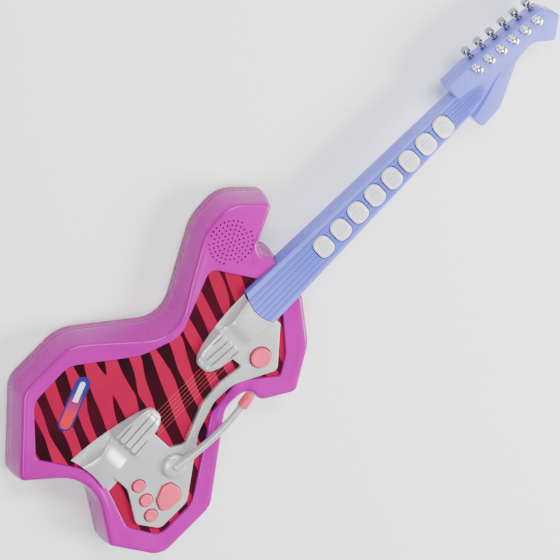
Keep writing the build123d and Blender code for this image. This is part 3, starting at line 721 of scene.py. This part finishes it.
# ---- neck and headstock ---------------------------------------------------------------
def neck_front():
    """Crowned fingerboard with six moulded strings, then the headstock."""
    half_steps = 130
    stations = [(y, neck_half(y), 0.0, 0.0) for y in (HEEL_Y, 134, 150, 175, 200, 240, 280, 320, 350, 372)]
    stations += [(380, 12.6, 0.0, 0.2), (388, 11.6, 0.2, 1.0), (398, 9.4, 0.4, 1.1), (408, 6.8, 0.6, 1.0),
                 (417, 4.2, 0.6, 0.7), (424, 2.4, 0.5, -0.6)]
    sections = []
    for y, half, centre, proud in stations:
        section = []
        for x, z in neck_section(half, half_steps):
            z += proud if z > 40 else 0.0
            section.append((x + centre, heel_end(x) if y == HEEL_Y else y, z))
        sections.append(section)
    neck = rings_solid("neck", sections, 30)
    for y in FRET_YS:
        corners = [(-11.9, y - 9.6, 8.2), (11.9, y - 9.6, 8.2), (11.9, y + 9.6, 8.2), (-11.9, y + 9.6, 8.2)]
        cut(neck, slab("hole", corners, NECK_SEAM - 1, 60, 0.01, steps=1))
    tidy(neck, 30, FINE_WELD)
    return join("neck_and_head", [neck, head_front()])


def neck_section(half, steps):
    """Points round the neck's front half, seen along it."""
    points = [(-half + 0.5, NECK_SEAM + 0.02), (-half, NECK_SEAM + 0.6), (-half, 41.8)]
    for k in range(1, 5):
        angle = pi / 2 * k / 5
        points.append((-half + 1.4 * (1 - cos(angle)), 41.8 + 1.6 * sin(angle)))
    pitch = half * STRING_SHARE
    inner = half - 1.5
    for k in range(steps + 1):
        x = -inner + 2 * inner * k / steps
        z = 43.5 + 2.2 * (1 - (x / inner) ** 2)
        for string in range(6):
            away = x - (string - 2.5) * pitch
            z += 0.8 * exp(-(away / 0.55) ** 2) - 1.1 * exp(-((abs(away) - 1.35) / 0.5) ** 2)
        points.append((x, z))
    points += [(-x, z) for x, z in reversed(points[:7])]
    return points


def head_front():
    """Headstock's front half, with seats for the posts and a carved groove."""
    rings = [lift(trace(inset(HEAD, 0.5)), NECK_SEAM + 0.02), lift(trace(HEAD), NECK_SEAM + 0.6)]
    for k in range(7):
        angle = pi / 2 * k / 6
        rings.append(lift(trace(inset(HEAD, 1.6 * (1 - cos(angle)))), HEAD_Z - 1.6 + 1.6 * sin(angle)))
    head = rings_solid("head", rings, 30)
    for y in TUNER_YS:
        cut(head, round_profile("hole", [(4.8, HEAD_Z - 0.4), (4.8, HEAD_Z + 3)], post_at(y), 40))
    cut(head, groove_cutter())
    tidy(head, 30, FINE_WELD)
    return head


def groove_cutter():
    """Long tapering groove carved in the headstock beside the strings."""
    route = [(1.5, 430, 0.4), (4.0, 420, 1.6), (7.2, 410, 2.4), (10.4, 399, 2.9), (13.2, 387, 3.2),
             (13.8, 372, 3.2)]
    rings = []
    for x, y, size in route:
        ring = []
        for k in range(16):
            angle = 2 * pi * k / 16
            ring.append((x + size * 0.7 * cos(angle), y, HEAD_Z + 0.2 + size * 1.2 * sin(angle)))
        rings.append(ring)
    return rings_solid("groove", rings)


def head_edge(y):
    """X of the headstock's straight bass side, between two of its corners."""
    (high_x, high_y, _), (low_x, low_y, _) = HEAD[6], HEAD[7]
    return low_x + (y - low_y) * (high_x - low_x) / (high_y - low_y)


def post_at(y):
    """Centre of a post, set in from the edge beside its peg."""
    return (head_edge(y) + POST_IN, y - POST_DOWN)


# ---- buttons --------------------------------------------------------------------------
def fret_button(number, y):
    """Pearl saddle-shaped button with moulded string lines and soft corners."""
    half_x, half_y, corner = 10.9, 8.7, 7.4
    corners = [(-half_x, -half_y, corner), (half_x, -half_y, corner), (half_x, half_y, corner),
               (-half_x, half_y, corner)]
    pitch = neck_half(y) * STRING_SHARE

    def top(px, py, share):
        z = 45.3 + 2.5 * (1 - (px / half_x) ** 2) + 0.5 * (1 - (py / half_y) ** 2)
        for string in range(6):
            away = px - (string - 2.5) * pitch
            string_line = 0.4 * exp(-(away / 0.5) ** 2) - 1.1 * exp(-((abs(away) - 1.2) / 0.4) ** 2)
            z += string_line * min(1, share * 4)
        return z

    rings = [lift(trace(inset(corners, 0.3), 12, 26), 40.0)]
    for k in range(7):
        angle = pi / 2 * k / 6
        loop = trace(inset(corners, 1.6 * (1 - cos(angle))), 12, 26)
        rings.append([(p.x, p.y, top(p.x, p.y, 0) - 1.4 + 1.4 * sin(angle)) for p in loop])
    edge = trace(inset(corners, 1.6), 12, 26)
    for k in range(1, 22):
        share = 1 - k / 22
        rings.append([(p.x * share, p.y * share, top(p.x * share, p.y * share, 1 - share)) for p in edge])
    rings = [[(a, b + y, c) for a, b, c in ring] for ring in rings]
    return rings_solid(f"pearl_button_{number}", rings, 50)


def push_button(name, at, radius, top, low=36.9):
    """Round button: straight skirt, soft edge, faint dish in the middle."""
    profile = [(radius - 0.4, low), (radius, low + 0.4), (radius, top - 1.9)]
    for k in range(1, 8):
        angle = pi / 2 * k / 7
        profile.append((radius - 1.7 * (1 - cos(angle)), top - 1.9 + 1.7 * sin(angle)))
    for share in (0.85, 0.7, 0.5, 0.3, 0.12, 0.01):
        profile.append(((radius - 1.7) * share, top - 0.2 - 0.45 * (1 - share ** 2)))
    return round_profile(name, profile, at, 72, 50)


def pad_corners():
    """The pad's outline, at its place on the body."""
    return [(x + PAD_AT[0], y + PAD_AT[1], r) for x, y, r in PAD]


def pad_button():
    """Seven-cornered button with a dished top."""
    return slab("pad_cap", inset(pad_corners(), 0.35), 36.9, 43.1, 1.8, steps=7, dish=0.5, sharp=50)


# ---- whammy bar -----------------------------------------------------------------------
def tube(name, route, sides=28, sharp=40):
    """Round bar along smooth points with a radius at each: (x, y, z, radius)."""
    points = smooth_route(route, 12)
    rings = []
    side = Vector((1, 0, 0))
    for i, (place, radius) in enumerate(points):
        ahead = points[min(i + 1, len(points) - 1)][0] - points[max(i - 1, 0)][0]
        ahead.normalize()
        side = (side - ahead * side.dot(ahead)).normalized()
        other = ahead.cross(side)
        ring = []
        for k in range(sides):
            angle = 2 * pi * k / sides
            p = place + side * radius * cos(angle) + other * radius * sin(angle)
            ring.append((p.x, p.y, p.z))
        rings.append(ring)
    return rings_solid(name, rings, sharp)


def smooth_route(route, steps):
    """Catmull-Rom curve through the route's points, radius included."""
    found = []
    count = len(route)
    for i in range(count - 1):
        a, b = route[max(i - 1, 0)], route[i]
        c, d = route[i + 1], route[min(i + 2, count - 1)]
        for k in range(steps):
            t = k / steps
            value = [0.5 * (2 * q + (r - p) * t + (2 * p - 5 * q + 4 * r - s) * t * t
                            + (3 * q - p - 3 * r + s) * t ** 3) for p, q, r, s in zip(a, b, c, d)]
            found.append((Vector(value[:3]), value[3]))
    found.append((Vector(route[-1][:3]), route[-1][3]))
    return found


def whammy_lever():
    """Round boss on the pivot, with the bent bar."""
    boss = [(11.3, PLATE_Z + 0.15), (12.0, PLATE_Z + 0.6), (12.0, 42.0)]
    for k in range(1, 9):
        angle = pi / 2 * k / 9
        boss.append((12.0 * cos(angle) ** 0.75, 42.0 + 4.0 * sin(angle)))
    boss.append((0.5, 46.05))
    dome = round_profile("boss", boss, PIVOT, 72, 40)
    bar = tube("bar", [(54.4, -41, 43.4, 5.0), (55.6, -31, 44.9, 4.4), (56.5, -18, 46.9, 3.9),
                       (57.0, 0, 49.3, 3.6), (56.2, 18, 51.5, 3.5), (54.5, 33, 52.8, 3.4),
                       (52.4, 46.5, 53.3, 3.4)])
    return join("whammy_lever", [dome, bar])


def whammy_grip():
    """Soft pink end of the bar."""
    a, b = Vector((53.4, 43.0, 53.2)), Vector((50.0, 58.6, 53.8))
    shape = [(0, 3.6), (0.01, 4.8), (0.05, 5.2), (0.3, 5.3), (0.6, 5.15), (0.8, 4.9), (0.9, 4.3),
             (0.96, 3.2), (1.0, 1.2)]
    return tube("whammy_grip", [(*a.lerp(b, share), radius) for share, radius in shape])


# ---- tuners ---------------------------------------------------------------------------
def tuner_peg(number, y):
    """Chrome peg: waisted shaft and an oval head with a pinched edge."""
    edge = head_edge(y)
    centre = edge - 9.5
    rings = []
    for depth, scale in ((-3.2, 0.05), (-3.15, 0.55), (-2.8, 0.82), (-2.0, 0.97), (-0.8, 0.92), (0.0, 0.84),
                         (0.8, 0.92), (2.0, 0.97), (2.8, 0.8), (3.2, 0.52), (4.0, 0.4)):
        ring = []
        for k in range(40):
            angle = 2 * pi * k / 40
            pinch = 1 - 0.16 * exp(-((abs(angle - pi / 2)) / 0.22) ** 2) if angle < pi else 1.0
            ring.append((centre + depth, y + 4.15 * scale * pinch * cos(angle),
                         TUNER_Z + 4.55 * scale * pinch * sin(angle)))
        rings.append(ring)
    for x in (5.2, 6.4, 9.0, 16.5):
        radius = 1.9 if x in (5.2, 6.4) else 1.5
        rings.append([(centre + x, y + radius * cos(2 * pi * k / 40), TUNER_Z + radius * sin(2 * pi * k / 40))
                      for k in range(40)])
    return rings_solid(f"chrome_peg_{number}", rings, 45)


def tuner_domes():
    """Stepped chrome posts on the headstock's face."""
    steps = [(4.2, -0.35), (4.5, 0.0), (4.5, 1.0), (4.2, 1.5), (3.5, 1.6), (3.3, 3.6), (3.6, 4.2),
             (4.15, 4.6), (4.2, 5.2), (4.2, 7.2), (3.9, 8.0), (3.2, 8.5), (2.3, 8.6), (1.3, 8.5),
             (1.1, 7.8), (0.1, 7.6)]
    profile = [(radius, HEAD_Z + rise) for radius, rise in steps]
    domes = [round_profile("dome", profile, post_at(y), 48, 40) for y in TUNER_YS]
    return join("post_domes", domes)


def inner_screws():
    """Screws of the boards and the speaker clamp, heads down."""
    screws = []
    clamp = [(SPEAKER_AT[0] + CLAMP_R * cos(radians(a)), SPEAKER_AT[1] + CLAMP_R * sin(radians(a)))
             for a in CLAMP_ANGLES]
    for places, low, length in ((BOARD_POSTS, 22.8, 8.0), (clamp, 32.4, 5.9)):
        for at in places:
            profile = [(0.5, low + 0.5), (0.6, low), (1.7, low), (2.0, low + 0.4), (2.0, low + 1.2),
                       (0.9, low + 1.2)]
            turns = int(length - 2.4)
            for k in range(turns):
                z = low + 1.6 + k
                profile += [(0.7, z), (0.9, z + 0.4), (0.7, z + 0.8)]
            profile += [(0.7, low + length - 0.6), (0.1, low + length)]
            screws.append(round_profile("screw", profile, at, 20))
    return join("inner_screws", screws)


# ---- assembly -------------------------------------------------------------------------
def place(piece, body, material, slot, *nodes):
    """Gives a piece its finish and its body, in place of CAD nodes."""
    piece.data.materials.clear()
    piece.data.materials.append(material)
    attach(piece, body)
    if nodes:
        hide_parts(*nodes)


def dress(node, material):
    """Gives a CAD node its finish and smooth shading."""
    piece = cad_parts[node]
    piece.data.materials.clear()
    piece.data.materials.append(material)
    piece.data.shade_smooth()
    piece.data.set_sharp_from_angle(angle=radians(28))


def make_guitar(mats):
    """Every piece on its body, then the finishes of the CAD nodes."""
    place(body_front(), "guitar", mats["purple"], "body_purple", "front_shell")
    place(silver_cover(), "guitar", mats["silver"], "silver_plastic", "silver_bezel")
    place(neck_front(), "guitar", mats["lavender"], "neck_lavender", "neck_front")
    for number, y in enumerate(FRET_YS, 1):
        name = f"fret_button_{number}"
        place(fret_button(number, y), name, mats["pearl"], "pearl", name)
    place(push_button("round_cap", ROUND_AT, 9.9, 44.0), "round_button", mats["pink"], "pink", "round_button")
    for number, at in enumerate(SMALL_AT, 1):
        name = f"small_button_{number}"
        place(push_button(f"small_cap_{number}", at, 6.2, 42.9), name, mats["pink"], "pink", name)
    place(pad_button(), "pad_button", mats["pink"], "pink", "pad_button")
    place(whammy_lever(), "whammy", mats["silver"], "silver_plastic", "whammy_arm")
    place(whammy_grip(), "whammy", mats["pink"], "pink", "whammy_tip")
    for number, y in enumerate(TUNER_YS, 1):
        name = f"tuner_peg_{number}"
        place(tuner_peg(number, y), name, mats["dark_chrome_and_painted_shade"], "chrome", name)
    place(tuner_domes(), "guitar", mats["chrome"], "chrome", "tuner_posts")
    place(inner_screws(), "guitar", mats["steel"], "steel", "board_screws")
    finishes = {
        "purple_dark": ["back_shell", "battery_door"],
        "panel": ["decor_panel"],
        "lavender": ["neck_back"],
        # tuner bushings made dark as painted shade of the posts on the headstock's side wall
        "dark_chrome_and_painted_shade": ["tuner_bushings"],
        "dark": ["power_knob", "power_switch", "speaker_clamp"],
        "steel": ["shell_screws", "heel_screws", "head_screws", "battery_door_screw", "whammy_screw",
                  "whammy_washer", "whammy_spring", "battery_contacts", "speaker_frame", "speaker_magnet"],
        "paper": ["speaker_cone"],
        "board": ["main_board", "button_board", "neck_board"],
        "rubber": ["control_membrane", "round_membrane", "neck_membrane"],
        "cell": ["batteries"],
        "wire": ["speaker_leads", "battery_leads", "neck_lead"],
    }
    for material, nodes in finishes.items():
        for node in nodes:
            dress(node, mats[material])


# ---- stage ----------------------------------------------------------------------------
def make_stage():
    """Pale floor and soft studio light."""
    mesh = bpy.data.meshes.new("floor")
    size = 4.0
    corners = [(-size, -size, FLOOR_Z), (size, -size, FLOOR_Z), (size, size, FLOOR_Z), (-size, size, FLOOR_Z)]
    mesh.from_pydata(corners, [], [(0, 1, 2, 3)])
    floor = bpy.data.objects.new("floor", mesh)
    bpy.context.scene.collection.objects.link(floor)
    material, nodes, links, shader = new_material("pale_floor")
    shade = spread(nodes, links, noise(nodes, links, 2, 2), 0.0, 1.0)
    links.new(tint(nodes, links, shade, (0.95, 0.95, 0.95), (0.97, 0.97, 0.97)), shader.inputs["Base Color"])
    shader.inputs["Roughness"].default_value = 0.7
    mesh.materials.append(material)
    world = bpy.data.worlds.new("studio")
    world.use_nodes = True
    world.node_tree.nodes["Background"].inputs[0].default_value = (1, 1, 1, 1)
    world.node_tree.nodes["Background"].inputs[1].default_value = 0.36
    bpy.context.scene.world = world
    add_light("rim_softbox", (-0.75, 0.95, 1.45), (0, 0.12, 0), 1.1, 0.4, 34)
    add_light("front_softbox", (-0.25, -0.75, 1.7), (0, 0.1, 0), 0.9, 0.7, 24)
    add_light("key_softbox", (1.15, 0.95, 1.15), (0, 0.1, 0), 0.8, 0.8, 62)


def add_light(name, at, aim, width, depth, power):
    """Rectangular softbox aimed at a point."""
    data = bpy.data.lights.new(name, "AREA")
    data.shape = "RECTANGLE"
    data.size = width
    data.size_y = depth
    data.energy = power
    light = bpy.data.objects.new(name, data)
    light.location = at
    light.rotation_euler = (Vector(aim) - Vector(at)).to_track_quat("-Z", "Y").to_euler()
    bpy.context.scene.collection.objects.link(light)


def make_camera():
    """Long lens, 28 degrees off the body's normal towards the bass side, rolled by 45 degrees."""
    tilt = radians(28)
    roll = radians(45)
    look = Vector((sin(tilt), 0, -cos(tilt)))
    level = Vector((cos(tilt), 0, sin(tilt)))
    along = Vector((0, 1, 0))
    right = level * cos(roll) + along * sin(roll)
    up = along * cos(roll) - level * sin(roll)
    aim = Vector((-0.0051, 0.1509, 0.040))
    data = bpy.data.cameras.new("camera")
    data.lens = 200
    data.sensor_width = 36
    camera = bpy.data.objects.new("camera", data)
    view_width = 0.5152  # metres across the picture at the aim point
    distance = view_width * data.lens / data.sensor_width
    back = -look
    turn = Matrix((right, up, back)).transposed().to_4x4()
    camera.matrix_world = Matrix.Translation(aim + back * distance) @ turn
    bpy.context.scene.collection.objects.link(camera)
    bpy.context.scene.camera = camera


make_guitar(make_materials())
make_stage()
make_camera()
